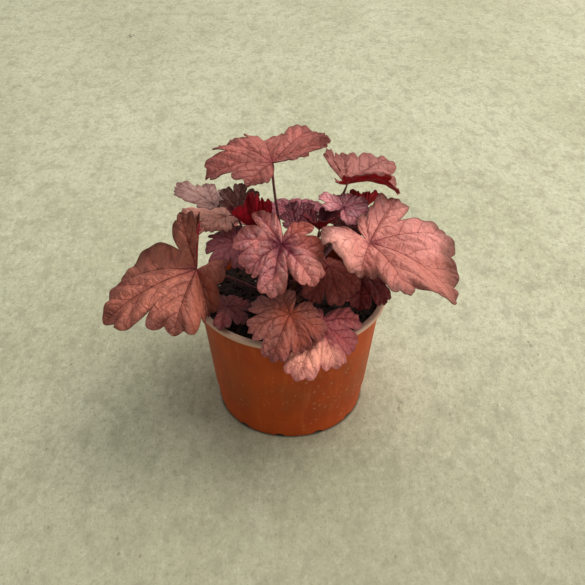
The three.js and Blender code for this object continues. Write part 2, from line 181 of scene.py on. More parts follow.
class Finish:  # a material and the nodes in it
    def __init__(self, name):
        self.material = bpy.data.materials.new(name)
        self.material.use_nodes = True
        self.tree = self.material.node_tree
        self.tree.nodes.clear()

    def node(self, kind, settings=None, values=None, output=0):
        added = self.tree.nodes.new("ShaderNode" + kind)
        for key, value in (settings or {}).items():
            setattr(added, key, value)
        for key, value in (values or {}).items():
            if isinstance(value, Signal):
                self.tree.links.new(value.socket, added.inputs[key])
            else:
                added.inputs[key].default_value = value
        return Signal(self, added.outputs[output])

    def place(self):
        return self.node("TexCoord", output="Object")

    def stretched(self, place, scale):
        return self.node("Mapping", None, {"Vector": place, "Scale": scale})

    def map(self, name):
        return self.node("UVMap", {"uv_map": name})

    def split(self, vector):
        first = self.node("SeparateXYZ", None, {0: vector})
        return [Signal(self, socket) for socket in first.socket.node.outputs]

    def clouds(self, vector, scale, detail=3.0, roughness=0.55, dimensions="3D", output=0):
        return self.node("TexNoise", {"noise_dimensions": dimensions},
                         {"Vector": vector, "Scale": scale, "Detail": detail, "Roughness": roughness},
                         output)

    def cells(self, vector, scale, feature="F1", dimensions="3D"):
        return self.node("TexVoronoi", {"feature": feature, "voronoi_dimensions": dimensions},
                         {"Vector": vector, "Scale": scale})

    def fade(self, value, low, high, most=1.0):  # 0 at low and most at high, which may be the smaller
        return self.node("MapRange", {"interpolation_type": "SMOOTHSTEP"},
                         {"Value": value, "From Min": low, "From Max": high, "To Max": most})

    def blend(self, share, first, second):
        return self.node("Mix", {"data_type": "RGBA", "clamp_factor": True},
                         {0: share, 6: first, 7: second}, 2)

    def coated(self, colour, signals, coats):
        # A coat is a strength, a paint and the signals it follows, each with the limits it fades between.
        for strength, code, *limits in coats:
            shares = [self.fade(signals[name], *ends) if ends else signals[name]
                      for name, *ends in limits]
            colour = self.blend(math.prod(shares, start=strength), colour, paint(code))
        return colour

    def surface(self, colour, rough, shine=0.5, relief=None):  # ends the material
        values = {"Base Color": colour, "Roughness": rough, "Specular IOR Level": shine}
        if relief:
            bump = dict(zip(("Height", "Distance", "Strength"), relief))
            values["Normal"] = self.node("Bump", None, bump)
        shader = self.node("BsdfPrincipled", None, values)
        end = self.tree.nodes.new("ShaderNodeOutputMaterial")
        self.tree.links.new(shader.socket, end.inputs["Surface"])
        return self.material


class Leaf(NamedTuple):
    look: str
    at: tuple  # where the stalk meets the blade
    aim: float  # bearing of the middle lobe
    stalk: tuple  # bearing and height of its foot on the crown, then its slope at the foot and at the top
    reach: tuple  # length of each lobe, from the last on the right to the last on the left
    slope: tuple  # angle of each lobe
    arch: tuple  # bend of each lobe
    gap: float = 47  # angle between main veins
    slit: float = 14  # angle over which the blade narrows into the slit at its back
    fold: float = 0  # extra depth of the folds along the veins, as a share of the reach
    notches: tuple = (0.24,) * 6  # depth of each cleft between two lobes
    sharp: tuple = (8,) * 6  # how narrow each cleft is


leaves = {
    "leaf_left": Leaf("copper", (-63, -28, 132), 208, (190, 90, 25, 20),
        (41, 42, 67, 74, 54, 35, 23), (80, 46, -19, -15, -22, -66, 22), (0, 10, 30, 40, 45, 40, -10),
        slit=30, fold=0.008, notches=(0.05, 0.55, 0.24, 0.25, 0.1, 0.25), sharp=(4, 2.2, 1, 14, 8, 4)),
    "leaf_top": Leaf("rust", (-12, 18, 188), 100, (110, 102, 75, 95),
        (36, 43, 46, 50, 46, 50, 34), (28, 22, 12, -4, 3, -4, 0), (10, 20, 30, 40, 50, 50, 30),
        fold=0.006, notches=(0.12, 0.15, 0.3, 0.2, 0.2, 0.06)),
    "leaf_top_right": Leaf("rose", (40, 25, 168), 1, (40, 101, 65, 75),
        (12, 20, 39, 41, 47, 27, 29), (30, 46, 32, -12, 2, 28, 50), (-20, -20, 45, 78, 30, 0, 0),
        notches=(0.15, 0.05, 0.05, 0.05, 0.1, 0.1)),
    "leaf_right": Leaf("salmon", (53, -25, 151), -22, (-10, 98, 55, 70),
        (40, 32, 55, 73, 63, 48, 21), (19, -14, -7, -25, -8, 14, 44), (40, 50, 40, 60, 50, 40, 0),
        gap=42, slit=34, fold=0.008, notches=(-0.08, 0.05, -0.08, 0, 0.32, 0), sharp=(6, 6, 2, 4, 4, 4)),
    "leaf_centre": Leaf("mauve", (-6, -30, 153), -100, (-100, 101, 70, 70),
        (33, 34, 31, 41, 42, 31, 26), (26, 2, -23, -30, -14, -12, 25), (20, 40, 50, 60, 50, 50, 10),
        gap=45, slit=48, fold=0.04, notches=(0.4, 0.15, 0.12, 0.4, 0.25, 0.3), sharp=(3, 8, 8, 4, 6, 6)),
    "leaf_front": Leaf("clay", (0, -62, 120), -112, (-112, 94, 45, 45),
        (24, 29, 31, 36, 28, 29, 22), (5, 0, -14, -30, -46, -30, -10), (20, 30, 50, 50, 60, 60, 30),
        fold=0.012, notches=(0.3, 0.2, 0.1, 0.25, 0.3, 0.3)),
    "leaf_front_low": Leaf("pink", (20, -56, 108), -113, (-72, 90, 22, 25),
        (14, 20, 34, 45, 34, 31, 32), (5, 0, -15, -25, -32, -36, -12), (10, 20, 30, 20, 30, 50, 40),
        gap=46, notches=(0.3, 0.3, 0.06, 0.1, 0.25, 0.3)),
    "leaf_under_right": Leaf("ember", (26, -25, 133), -74, (-52, 96, 60, 75),
        (28, 28, 30, 32, 28, 12, 10), (14, -5, -36, -28, -30, -10, 0), (10, 30, 50, 50, 50, 30, 10),
        fold=0.012),
    "leaf_shaded": Leaf("maroon", (50, -14, 121), -50, (-25, 91, 30, 60),
        (16, 22, 30, 30, 26, 20, 16), (0, -10, -35, -30, -26, -10, 0), (10, 20, 40, 40, 40, 20, 10),
        gap=46),
    "leaf_back_right": Leaf("lilac", (37, 6, 160), 60, (10, 101, 70, 80),
        (22, 20, 18, 14, 13, 20, 17), (-12, 5, 10, 20, 20, 18, 5), (10, 20, 20, 20, 20, 20, 10),
        slit=60, notches=(0.2, 0.2, 0.2, 0.15, 0.2, 0.2)),
    "leaf_behind_right": Leaf("crimson", (54, 48, 134), -80, (40, 93, 45, 60),
        (16, 22, 27, 23, 22, 18, 14), (10, 42, 60, 66, 64, 42, 20), (10, 0, -10, -20, -10, 0, 10),
        notches=(0.05, 0.05, 0.02, 0.02, 0.05, 0.05)),
    "leaf_curled": Leaf("crimson", (-23, 14, 136), -100, (150, 101, 65, 60),
        (12, 16, 36, 43, 36, 15, 11), (20, 45, 50, 72, 68, 45, 20), (0, 0, -10, -30, -20, 0, 0),
        notches=(0.1, 0.1, 0.02, 0, 0.1, 0.1)),
    "leaf_upper_left": Leaf("tan", (-46, 18, 146), 182, (168, 96, 45, 55),
        (12, 16, 21, 34, 21, 17, 12), (5, -5, -14, 3, -8, -8, 0), (20, 30, 40, 50, 40, 30, 20)),
    "leaf_far_left": Leaf("dusk", (-57, 46, 139), 155, (140, 92, 40, 50),
        (16, 20, 26, 33, 33, 16, 12), (5, 5, 10, 19, 27, 16, 0), (20, 30, 30, 30, 30, 30, 20)),
    "leaf_far_middle": Leaf("umber", (-38, 36, 139), 85, (125, 96, 55, 70),
        (12, 16, 22, 24, 22, 16, 12), (10, 20, 32, 38, 35, 20, 10), (10, 10, 10, 10, 10, 10, 10)),
    "leaf_shaded_left": Leaf("blush", (-37, -2, 137), 235, (205, 97, 50, 65),
        (18, 24, 24, 28, 24, 20, 16), (10, -5, -10, -20, -20, -10, 0), (20, 30, 40, 50, 40, 30, 20)),
    "leaf_low_left": Leaf("plum", (-43, -33, 104), 214, (222, 90, 20, 20),
        (16, 18, 14, 9, 25, 20, 16), (-5, -5, -5, -5, 0, -6, 5), (10, 20, 30, 30, 30, 20, 10)),
    "leaf_inner": Leaf("grape", (4, 6, 145), 55, (70, 102, 80, 76),
        (12, 15, 19, 22, 21, 14, 10), (15, 20, 25, 28, 28, 25, 15), (10, 20, 30, 30, 30, 20, 10)),
    "leaf_young": Leaf("wine", (20, -5, 149), -80, (-30, 102, 75, 80),
        (17, 18, 17, 15, 17, 19, 18), (46, 50, 50, 55, 50, 38, 34), (-10, 0, 10, 10, 10, 0, -10)),
    "leaf_middle": Leaf("maroon", (35, 20, 136), 0, (28, 96, 50, 75),
        (8, 13, 22, 22, 20, 20, 8), (10, 12, 8, 0, 5, 12, 18), (20, 30, 30, 30, 30, 30, 20)),
    "leaf_far_right": Leaf("rust", (80, 36, 120), 25, (16, 91, 30, 35),
        (18, 24, 28, 32, 30, 24, 18), (5, 0, -5, -10, -10, 0, 5), (20, 30, 40, 50, 40, 30, 20)),
    "leaf_back_low": Leaf("salmon", (46, 64, 114), 55, (62, 91, 32, 39),
        (20, 32, 38, 43, 37, 24, 16), (5, 0, -12, -22, -18, 0, 5), (20, 30, 50, 60, 50, 30, 20),
        gap=46),
    "leaf_back": Leaf("grape", (0, 64, 124), 92, (92, 94, 42, 40),
        (18, 28, 36, 46, 36, 28, 18), (5, 0, -14, -26, -18, 0, 5), (20, 30, 50, 70, 50, 30, 20)),
    "leaf_back_left": Leaf("rust", (-44, 72, 108), 126, (118, 90, 30, 35),
        (14, 18, 30, 42, 36, 22, 14), (10, 4, -16, -24, -22, 4, 12), (20, 30, 50, 60, 50, 30, 20)),
}


class Look(NamedTuple):
    slot: str
    paints: str  # face, shade mixed into it, bloom between veins, edge, veins, heart and underside
    veil: float = 0.4  # strength of the bloom
    drawn: float = 1  # strength of the veins
    netting: float = 0.28  # and of the finest of them
    margin: float = 0.6  # strength of the edge
    heartReach: float = 0.24  # how far the heart goes round the stalk
    heartShare: float = 0.75
    tints: tuple = ()  # bearing from the middle lobe, start in decimetres, paint and strength


looks = {
    "copper": Look("leaf_rust", "be6a56 90483a d48c76 5c2c22 57231d 9c4440 8c1422", veil=0.35),
    "rust": Look("leaf_rust", "b86258 90443c d0887a 682e28 5a2422 9a3c40 941224", veil=0.5, drawn=0.5),
    "tan": Look("leaf_rust", "ffb4a0 f09c88 ffccbc 7c4636 703830 9c4a3e a01424"),
    "salmon": Look("leaf_salmon", "dc8a7e be6c62 eeaca0 5c3226 7a3632 8c3440 96142a",
        veil=0.45, margin=0.75,
        tints=((42, 0.26, "ea958c", 0.8), (-12, 0.34, "bc7666", 0.75), (-126, 0.13, "ffb4a4", 0.7),
               # The last tint is painted shade in the deep fold beside the stalk.
               (88, 0.2, "be766c", 0.6), (-52, 0.1, "c06e60", 0.65), (150, 0.05, "8a4a48", 0.7))),
    "rose": Look("leaf_salmon", "b06a62 905048 c48a80 7c3c38 743638 8c3c42 b20a1e", veil=0.5, drawn=0.55),
    # Its strong pale bloom is partly the silver skin between the veins and partly a painted sheen on the
    # swells.
    "mauve": Look("leaf_mauve", "d87a72 883238 f8bcb4 8c4238 5a1824 620a26 861226",
        veil=0.7, netting=0.2, heartReach=0.62, heartShare=0.97,
        tints=((135, 0.04, "c45a46", 0.75), (0, 0.24, "e49484", 0.6), (-100, 0.22, "bc6660", 0.5),
               (60, 0.16, "d07c6c", 0.6), (-50, 0.14, "cc7c84", 0.5))),
    "lilac": Look("leaf_mauve", "f09498 bc6470 ffcccc 743640 4c1624 5d1a2e 8c1228", veil=0.8),
    # Its orange heart and first tint are a painted glow, as of light shining through the blade.
    "clay": Look("leaf_mauve", "a45a4c 823f35 b87e6e 7a4040 54221f b04a2c 861226",
        drawn=0.65, heartReach=0.6,
        tints=((70, 0.05, "a84a34", 0.7), (-100, 0.12, "a0625c", 0.6))),
    "dusk": Look("leaf_mauve", "b4867c 906460 c8a298 6d423e 5c3432 6d3a3c 7c1a26", veil=0.7, drawn=0.45),
    # Its tint is painted light: the middle lobes made pale pink, as if sunlit.
    "pink": Look("leaf_pink", "c85e5e a4464a d88480 94484c 844044 8c3440 96142a", veil=0.5, drawn=0.5,
        tints=((4, 0.07, "ffa890", 0.97),)),
    "blush": Look("leaf_dark", "b05c62 88404a c48688 6e343a 6a3038 7a2c38 861226", veil=0.5, drawn=0.4),
    "grape": Look("leaf_mauve", "9c4450 641a2a d08a90 5c1c28 42101c 4c0c1c 981024", veil=0.8),
    "ember": Look("leaf_dark", "a84c40 84342c b8665a 6c2a26 541a1a 8a2422 7c1020", veil=0.3),
    "maroon": Look("leaf_dark", "8c3230 661e20 a04e4a 6c1c20 440e14 6c141e 84101e"),
    "umber": Look("leaf_dark", "6e3d34 542924 8a5648 44201c 3c1818 74202a 8c1022"),
    "plum": Look("leaf_dark", "984644 743232 a4605c 5e2c30 4e1c24 6a2430 7c1224", veil=0.5),
    "crimson": Look("leaf_crimson", "8a2230 641420 a24a50 8c1022 560a18 6a1020 a80c22"),
    "wine": Look("leaf_crimson", "6e1c28 4a0c16 8c4048 5a0e18 3c0610 4a0812 960a1c"),
}

bladeForm = {
    "thickness": 0.55,
    "ease": (0.15, 0.85),  # where the numbers of one lobe pass into those of the next
    "round": 0.09,  # how much shorter each lobe is at its sides
    "outer": (0.24, 8),  # depth and narrowness of the clefts beyond the outer lobes
    "tooth": 0.075,  # the scallops, three to a lobe
    "fineTooth": 0.01,  # and the small ones cut into them
    "slitReach": 0.06,
    "pleat": 0.025,
    "wave": (0.03, 7, 0.4),  # height as a share of the reach, count round the leaf, and where it starts
    "ruffle": (0.018, 23, 0.7),
    "sideVeins": 4.5,  # pairs to a lobe
    "veinLean": 0.85,  # how they lean forwards, and how much more so farther out
    "veinCurve": 1.2,
    "quilt": 0.024,  # how far the blade swells between its side veins, as a share of its reach
    "quiltRun": (0.05, 0.3),  # where it sets in along the lobe
    "quiltSide": (0, 0.07),  # and beside the main vein
    "cleftEdge": (0.75, 1),  # where it flattens beside a cleft, by cleftCalm
    "cleftCalm": 0.8,
    "groove": 0.5,  # depth of the main veins, on a lobe as long as grooveLobe
    "grooveLobe": 60,
    "grooveWidth": 1.5,
    "grooveRun": (1.5, 7),  # where the groove sets in
    "grooveEnd": 0.6,  # how much of it is gone at the tip
    "meshes": ((60, 330, 30), (40, 270, 24), (30, 220, 18), (0, 180, 14)),  # least reach, columns, rows
    "rowSpread": 0.85,
    "mapUnit": 100,  # one unit of the flat map, on which leaves lie mapGap units apart
    "mapGap": 3,
}


def betweenLobes(leaf, values, angle):
    last = len(values) - 1
    place = np.clip(angle / leaf.gap + last / 2, 0, last)
    low = np.minimum(last - 1, np.floor(place)).astype(int)
    listed = np.array(values, dtype=float)
    return listed[low] + (listed[low + 1] - listed[low]) * smoothStep(place - low, *bladeForm["ease"])


def acrossLobe(leaf, angle):  # 0 on a lobe's main vein, 1 in the cleft beside it
    edge = 3 * leaf.gap
    beyond = np.abs(angle) - edge
    place = angle / leaf.gap
    inside = 2 * np.abs(place - np.floor(place + 0.5))
    return np.where(beyond > 0, np.minimum(1, beyond / (180 - edge)), inside)


def notchAt(leaf, angle):  # how deep the cleft cuts at this angle
    depth, power = bladeForm["outer"]
    cleft = np.clip(np.floor(angle / leaf.gap + 3).astype(int) + 1, 0, 7)
    depths = np.array([depth, *leaf.notches, depth], dtype=float)
    powers = np.array([power, *leaf.sharp, power], dtype=float)
    return depths[cleft] * acrossLobe(leaf, angle) ** powers[cleft]


def reachAt(leaf, angle):
    across = acrossLobe(leaf, angle)
    lobe = 1 - bladeForm["round"] * across ** 2 - notchAt(leaf, angle)
    scallop = 1 - bladeForm["tooth"] * (1 - np.abs(np.cos(1.5 * math.pi * across)))
    slit = np.clip((180 - np.abs(angle)) / leaf.slit, 0, 1) ** 0.5
    whole = betweenLobes(leaf, leaf.reach, angle)
    return whole * np.maximum(bladeForm["slitReach"], lobe * scallop * slit)


def fineReachAt(leaf, angle):  # with the small scallops, uneven from one to the next
    scallop = 1 - np.abs(np.cos(4.5 * math.pi * acrossLobe(leaf, angle))) ** 0.8
    uneven = 0.75 + 0.5 * np.sin(np.radians(angle) * 11 + leaf.at[0])
    return reachAt(leaf, angle) * (1 - bladeForm["fineTooth"] * uneven * scallop)


def sideVeinPhase(along, side, left):  # for numbers and for Signals alike
    lean = bladeForm["veinLean"] * side + bladeForm["veinCurve"] * side * side
    return (along - lean) * bladeForm["sideVeins"] + 0.5 * left


def quiltAt(leaf, angle, distance):  # swelling between the side veins, and the sunken main veins
    form = bladeForm
    whole = betweenLobes(leaf, leaf.reach, angle)
    turn = np.radians(angle - leaf.gap * np.clip(np.rint(angle / leaf.gap), -3, 3))
    along = distance * np.cos(turn) / whole
    across = distance * np.sin(turn) / whole
    side = np.abs(across)
    swell = 0.5 - 0.5 * np.cos(2 * math.pi * sideVeinPhase(along, side, across > 0))
    calm = 1 - form["cleftCalm"] * smoothStep(acrossLobe(leaf, angle), *form["cleftEdge"])
    free = smoothStep(side, *form["quiltSide"]) * calm
    lift = form["quilt"] * whole * swell * free * smoothStep(along, *form["quiltRun"])
    sunk = np.exp(-(side * whole / form["grooveWidth"]) ** 2)
    groove = form["groove"] * (whole / form["grooveLobe"]) ** 0.5 * sunk
    run = smoothStep(distance, *form["grooveRun"]) * (1 - form["grooveEnd"] * np.clip(along, 0, 1))
    return lift - groove * run


def rippleAt(angle, whole, share, ripple, phase):
    height, count, start = ripple
    return height * whole * smoothStep(share, start, 1) * np.sin(np.radians(angle) * count + phase)


def surfacePoints(leaf, angle, share):  # share runs from 0 at the stalk to 1 at the edge
    atX, atY, atZ = leaf.at
    distance = share * fineReachAt(leaf, angle)
    whole = betweenLobes(leaf, leaf.reach, angle)
    arch = np.radians(betweenLobes(leaf, leaf.arch, angle))
    start = np.radians(betweenLobes(leaf, leaf.slope, angle)) + arch / 2
    bend = -arch / whole
    bend = np.where(np.abs(bend) < 0.000001, 0.000001, bend)
    slope = start + bend * distance
    out = (np.sin(slope) - np.sin(start)) / bend
    up = (np.cos(start) - np.cos(slope)) / bend
    folds = bladeForm["pleat"] + leaf.fold
    pleat = -folds * distance * np.cos(2 * math.pi * angle / leaf.gap)
    wave = rippleAt(angle, whole, share, bladeForm["wave"], atX + atY)
    ruffle = rippleAt(angle, whole, share, bladeForm["ruffle"], atY)
    lift = pleat + wave + ruffle + quiltAt(leaf, angle, distance)
    out = out - lift * np.sin(slope)
    up = up + lift * np.cos(slope)
    toward = np.radians(angle) + math.radians(leaf.aim)
    return np.stack([atX + out * np.cos(toward), atY + out * np.sin(toward), atZ + up], axis=1) * mm


def columnAngles(leaf, columns):  # even steps along the edge, and a column on each vein and in each cleft
    samples = 3601
    stops = [-180.0] + [leaf.gap / 2 * i for i in range(-6, 7)] + [180.0]
    fine = np.linspace(-180, 180, samples)
    edge = surfacePoints(leaf, fine, np.ones(samples))
    walked = np.concatenate([[0], np.cumsum(np.linalg.norm(np.diff(edge, axis=0), axis=1))])
    atStops = np.interp(stops, fine, walked)
    counts = np.maximum(3, np.rint(np.diff(atStops) / walked[-1] * columns)).astype(int)
    angles = [np.array([-180.0])]
    for start, end, count in zip(atStops[:-1], atStops[1:], counts):
        angles.append(np.interp(np.linspace(start, end, count + 1)[1:], walked, fine))
    return np.concatenate(angles)


def bladePiece(leaf, index, top, under):
    longest = max(leaf.reach)
    columns, rows = next(sizes for limit, *sizes in bladeForm["meshes"] if longest >= limit)
    angles = columnAngles(leaf, columns)
    columns = len(angles) - 1
    blade = made(bpy.ops.mesh.primitive_grid_add, x_subdivisions=columns, y_subdivisions=rows, size=2)
    place = corners(blade)
    column = columns - np.rint((place[:, 0] + 1) * columns / 2).astype(int)
    share = (np.rint((place[:, 1] + 1) * rows / 2) / rows) ** bladeForm["rowSpread"]
    angle = angles[column]
    moveCorners(blade, surfacePoints(leaf, angle, share))
    mapBlade(blade.data, leaf, index, angle, share * fineReachAt(leaf, angle))
    rim = blade.data.attributes.new("rim", "FLOAT", "POINT")
    rim.data.foreach_set("value", share.astype(np.float32))
    editAll(blade, mergeSeams)
    wear(blade, top, under)
    applyModifier(blade, "SOLIDIFY", thickness=bladeForm["thickness"] * mm, offset=0, material_offset=1)
    return blade


def mapBlade(mesh, leaf, index, angle, distance):
    # The map called flat has the leaf laid flat, and lobe runs along and across each main vein.
    corner = np.empty(len(mesh.loops), dtype=int)
    mesh.loops.foreach_get("vertex_index", corner)
    middle = np.repeat(angle[corner].reshape(-1, 4).mean(axis=1), 4)
    lobe = np.clip(np.rint(middle / leaf.gap), -3, 3).astype(int)
    whole = np.array(leaf.reach, dtype=float)[lobe + 3]
    turn = np.radians(angle[corner] - lobe * leaf.gap)
    toward = np.radians(angle[corner])
    away = distance[corner]
    unit, shift = bladeForm["mapUnit"], bladeForm["mapGap"] * index
    sheets = {
        "flat": (away * np.cos(toward) / unit + shift, away * np.sin(toward) / unit),
        "lobe": (away * np.cos(turn) / whole, away * np.sin(turn) / whole),
    }
    while mesh.uv_layers:
        mesh.uv_layers.remove(mesh.uv_layers[0])
    for name, (u, v) in sheets.items():
        layer = mesh.uv_layers.new(name=name)
        layer.data.foreach_set("uv", np.stack([u, v], axis=1).astype(np.float32).ravel())


# Widths of veins are shares of a lobe's length: at the start, and how much narrower at the end.
veinForm = {
    "wander": (4.5, 0.012),  # scale and size of the bends in a main vein
    "mainWidth": (0.0095, 0.0075),
    "mainEdge": (1.3, 0.3),  # where a vein's colour starts and is full, in widths from its middle
    "sideWidth": (0.0075, 0.014),
    "sideEdge": (1.6, 0.3),
    "sideRun": (0.1, 0.22),  # where the side veins set in along the lobe
    "sideEnd": (0.12, 0.32, 0.85),  # where they fade out across it, and by how much
    "drift": (12.0, 2.0, 0.07),  # scale, detail and size of the unevenness of the net
    "net": 17.0,
    "netEdge": (0.07, 0.01),
    "fineNet": 50.0,
    "bloom": ((0.012, 0.05), (0.015, 0.07)),  # where it starts beside a side vein and the main vein
    "tints": (0.14, 0.16, 0.1),  # width of a tint's edge, and how far mottle and clouds shift it
}


def warped(finish, flat):  # the flat map, unevenly stretched
    scale, detail, size = veinForm["drift"]
    drift = finish.clouds(flat, scale, detail, 0.5, "2D", output=1)
    scaled = finish.node("VectorMath", {"operation": "SCALE"}, {0: drift, "Scale": size})
    return finish.node("VectorMath", {"operation": "ADD"}, {0: flat, 1: scaled})


def veinSignals(finish):
    form = veinForm
    flat = finish.map("flat")
    along, across = finish.split(finish.map("lobe"))[:2]
    side = abs(across)
    scale, size = form["wander"]
    wander = finish.clouds(flat, scale, dimensions="2D") - 0.5
    bent = abs(side + size * wander * finish.fade(along, 0.1, 0.4))
    wide, narrower = form["mainWidth"]
    main = finish.fade(bent / (wide - narrower * along), *form["mainEdge"])
    phase = sideVeinPhase(along, side, across > 0.0) + 0.5 * wander
    apart = abs((phase + 0.5).remainder() - 0.5) / bladeForm["sideVeins"]
    wide, narrower = form["sideWidth"]
    grown = finish.fade(along, *form["sideRun"]) * (1 - finish.fade(side, *form["sideEnd"]))
    sideVein = finish.fade(apart / (wide - narrower * side), *form["sideEdge"]) * grown
    place = warped(finish, flat)
    net = finish.cells(place, form["net"], "DISTANCE_TO_EDGE", "2D")
    fineNet = finish.cells(place, form["fineNet"], "DISTANCE_TO_EDGE", "2D")
    besideVein, besideMain = form["bloom"]
    bloom = finish.fade(apart, *besideVein) * finish.fade(side, *besideMain)
    netVein = finish.fade(net, *form["netEdge"])
    return dict(flat=flat, main=main, sideVein=sideVein, net=net, fineNet=fineNet, netVein=netVein,
                bloom=bloom)


def tintCoats(finish, look, signals):  # adds a signal for each tint, and gives the tints back as coats
    gap = bladeForm["mapGap"]
    ahead, left = finish.split(signals["flat"])[:2]
    ahead = ((ahead + 1) / gap).remainder() * gap - 1
    soft, mottled, cloudy = veinForm["tints"]
    uneven = mottled * (signals["mottle"] - 0.5) + cloudy * (signals["broad"] - 0.5)
    coats = []
    for bearing, start, code, strength in look.tints:
        aim = math.radians(bearing)
        signals[bearing] = ahead * math.cos(aim) + left * math.sin(aim) + uneven
        coats.append((strength, code, (bearing, start, start + soft)))
    return coats


def bladeFinish(name, look):
    finish = Finish(name)
    signals = veinSignals(finish)
    flat, main, sideVein = signals["flat"], signals["main"], signals["sideVein"]
    broad = finish.clouds(flat, 2.6, dimensions="2D")
    mottle = finish.clouds(flat, 16, 4, 0.6, "2D")
    grain = finish.clouds(flat, 70, 3, 0.7, "2D")
    rim = finish.node("Attribute", {"attribute_name": "rim"}, output="Fac")
    signals.update(broad=broad, mottle=mottle, grain=grain, rim=rim, patch=broad * 0.6 + mottle * 0.4,
                   margin=rim + 0.36 * (broad - 0.5), heart=rim + 0.2 * (broad - 0.5))
    face, shade, bloom, edge, vein, heart, _ = look.paints.split()
    colour = finish.coated(paint(face), signals, (
        (1, shade, ("patch", 0.4, 0.6)),
        (0.65 * look.veil, bloom, ("bloom",), ("mottle", 0.35, 0.65)),
        (0.2, bloom, ("grain", 0.5, 0.8)),
        *tintCoats(finish, look, signals),
        (0.3, shade, ("grain", 0.5, 0.2)),
        (0.35, shade, ("mottle", 0.5, 0.7)),
        (look.drawn * look.netting, vein, ("netVein",)),
        (look.margin, edge, ("margin", 0.74, 1)),
        (0.5, edge, ("rim", 0.965, 1)),
        (look.heartShare, heart, ("heart", look.heartReach, 0.02)),
        (look.drawn * 0.34, vein, ("sideVein",)),
        (look.drawn * 0.75, vein, ("main",)),
    ))
    height = finish.fade(signals["net"], 0, 0.35) * 0.7 + finish.fade(signals["fineNet"], 0, 0.4) * 0.25
    height = height + grain * 0.2 + mottle * 0.5 - main * 0.9 - sideVein * 0.6
    rough = 0.48 + 0.2 * (mottle - 0.5) + 0.1 * main
    return finish.surface(colour, rough, 0.28, (height, 0.0007, 0.9))


def undersideFinish(name, look):
    finish = Finish(name)
    veins = veinSignals(finish)
    main, sideVein, netVein = veins["main"], veins["sideVein"], veins["netVein"]
    mottle = finish.clouds(veins["flat"], 14, 4, 0.6, "2D")
    grain = finish.clouds(veins["flat"], 80, 3, 0.7, "2D")
    _, shade, *_, under = look.paints.split()
    deep = paint(under, 0.62)
    colour = finish.blend(finish.fade(mottle, 0.35, 0.65), paint(under), deep)
    colour = finish.blend(netVein * 0.2, colour, deep)
    colour = finish.blend(main * 0.7 + sideVein * 0.4, colour, paint(shade))
    height = main + sideVein * 0.7 + netVein * 0.25 + grain * 0.2
    return finish.surface(colour, 0.5 + 0.2 * (mottle - 0.5), 0.35, (height, 0.0005, 0.7))


stalkForm = {
    "sunk": 4.5, "foot": 1.3, "middle": 1.05, "top": 0.9, "tip": 0.5,  # depth in the crown, half widths
    "handles": (0.4, 0.3),  # lengths of the curve's handles, as shares of the stalk
    "cuts": 11, "footCuts": 3,
    "hairs": 90, "hairLength": 1.1, "hairRadius": 0.05, "hairAway": 0.85,
    "hairRange": (0.12, 0.96), "hairLean": (-0.3, 0.5), "hairSize": (0.6, 1.3),
    "skin": "7c3a40", "hairPaints": ("b08a86", "d8c0b8"),
    "coats": (
        (1, "5a2a30", ("patch", 0.35, 0.65)),
        (0.4, "a0646a", ("streak", 0.5, 0.75)),
        (0.65, "3a1c1c", ("height", 0.108, 0.086)),
    ),
}
crownForm = {
    "radius": 9.5, "foot": 74, "top": 103, "narrower": 0.45, "narrowsFrom": 12, "blunt": 0.8,
    "knobs": (0.06, 0.09), "ribs": (7, 0.8, 0.55),  # even and uneven; count, twist and rise of the even
    "scales": (-14, 16), "scaleWidth": 2.2, "scaleLength": 6.5, "scaleThickness": 0.25,
    "scaleTaper": 2.2, "scaleCurl": (-0.9, 1.4),  # across it and along it
    "scatter": (-5, 5), "drop": (2, 4.5), "lean": (-0.4, 0), "scaleSizes": (0.7, 1.1),
    "bark": ("4c2a22", "74443a"), "sheath": ("6a4230", "8c5c44"),
}


def stalkFinish():
    finish = Finish("stalkSkin")
    place = finish.place()
    streak = finish.clouds(finish.stretched(place, (1, 1, 0.25)), 900.0)
    patch = finish.clouds(place, 60)
    signals = dict(patch=patch, streak=streak, height=finish.split(place)[2])
    colour = finish.coated(paint(stalkForm["skin"]), signals, stalkForm["coats"])
    return finish.surface(colour, 0.5 + 0.15 * (patch - 0.5), 0.4, (streak, 0.0002, 0.6))


def crownRadius(z):
    narrowing = float(smoothStep(z, crownForm["foot"] + crownForm["narrowsFrom"], crownForm["top"]))
    return crownForm["radius"] * (1 - crownForm["narrower"] * narrowing)


def heading(bearing, slope):
    slope = math.radians(slope)
    return polar(math.cos(slope), math.radians(bearing), math.sin(slope))


def stalkHandles(leaf):
    bearing, height, lean, elbow = leaf.stalk
    leave = heading(bearing, lean)
    arrive = heading(leaf.aim, elbow)
    root = heading(bearing, 0) * crownRadius(height) + Vector((0, 0, height)) - leave * stalkForm["sunk"]
    tip = Vector(leaf.at)
    far = (tip - root).length
    low, high = stalkForm["handles"]
    return [point * mm for point in (root, root + leave * far * low, tip - arrive * far * high, tip)]


